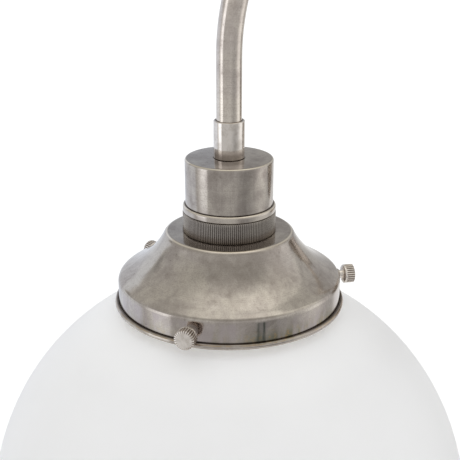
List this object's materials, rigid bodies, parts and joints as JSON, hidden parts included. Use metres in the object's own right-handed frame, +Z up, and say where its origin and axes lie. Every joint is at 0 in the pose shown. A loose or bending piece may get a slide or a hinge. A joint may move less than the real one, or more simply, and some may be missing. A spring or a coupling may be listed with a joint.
{
  "type": "wall light",
  "caption": "Swan-neck wall light: spun back plate, bent tube arm, lampholder, flared gallery with thumb screws and a hanging opal globe.",
  "frame": {"origin": "middle of the back plate, on the wall face", "axes": "+Z up, +Y into the wall, the arm reaches out along -Y, +X to the right seen from the room"},
  "size_m": [0.248, 0.3839, 0.4644],
  "materials": {
    "antique_silver": "silver plate, darkened and rubbed back by hand",
    "polished_nickel": "bright nickel plate, fine turning marks",
    "zinc_steel": "zinc plate",
    "brass": "machined",
    "nylon": "moulded",
    "porcelain": "white glaze, standing in for ceramic",
    "opal_glass": "satin white opal, not see-through",
    "bulb_glass": "frosted",
    "black_glass": "glossy",
    "flex_sheath": "smooth PVC",
    "lead_sheath": "smooth PVC"
  },
  "bodies": {
    "root": {"mounting_bracket": "zinc_steel", "bracket_studs": "zinc_steel", "dome_nuts": "polished_nickel", "earth_screw": "brass", "earth_washer": "brass", "terminal_block": "nylon", "terminal_poles": "brass", "terminal_screws": "zinc_steel", "block_screw": "zinc_steel", "wall_leads": "lead_sheath", "back_plate": "antique_silver", "arm_collar": "antique_silver", "arm_fitting": "zinc_steel", "arm_washer": "zinc_steel", "arm_nut": "zinc_steel", "arm_tube": "antique_silver", "arm_flex": "flex_sheath", "coupler": "polished_nickel", "grub_screw": "zinc_steel", "lamp_fitting": "zinc_steel", "lamp_nut": "zinc_steel", "holder_cap": "antique_silver", "holder_skirt": "antique_silver", "insulator": "porcelain", "screw_shell": "polished_nickel", "centre_contact": "brass", "holder_terminals": "brass", "holder_terminal_screws": "zinc_steel", "lamp_leads": "lead_sheath", "gallery": "antique_silver", "gallery_bushes": "polished_nickel", "globe": "opal_glass"},
    "screw_1": {"thumb_screw_1": "polished_nickel"},
    "screw_2": {"thumb_screw_2": "polished_nickel"},
    "screw_3": {"thumb_screw_3": "polished_nickel"},
    "upper_ring": {"upper_shade_ring": "antique_silver"},
    "lower_ring": {"lower_shade_ring": "antique_silver"},
    "bulb": {"bulb_glass": "bulb_glass", "bulb_cap": "polished_nickel", "bulb_seal": "black_glass", "bulb_contact": "brass"}
  },
  "joints": [
    {"name": "thumb_screw_1_travel", "type": "slide", "parent": "root", "child": "screw_1", "axis": [0.6032, -0.7976, 0], "range_m": [0, 0.005]},
    {"name": "thumb_screw_2_travel", "type": "slide", "parent": "root", "child": "screw_2", "axis": [0.3891, 0.9212, 0], "range_m": [0, 0.005]},
    {"name": "thumb_screw_3_travel", "type": "slide", "parent": "root", "child": "screw_3", "axis": [-0.9923, -0.1236, 0], "range_m": [0, 0.005]},
    {"name": "upper_ring_turn", "type": "hinge", "parent": "root", "child": "upper_ring", "pos_m": [0, -0.26, 0.012], "axis": [0, 0, 1], "range_deg": [0, 36]},
    {"name": "lower_ring_turn", "type": "hinge", "parent": "root", "child": "lower_ring", "pos_m": [0, -0.26, 0.012], "axis": [0, 0, 1], "range_deg": [-3000, 0]},
    {"name": "bulb_turn", "type": "hinge", "parent": "root", "child": "bulb", "pos_m": [0, -0.26, 0.012], "axis": [0, 0, 1], "range_deg": [-2030, 0]}
  ]
}
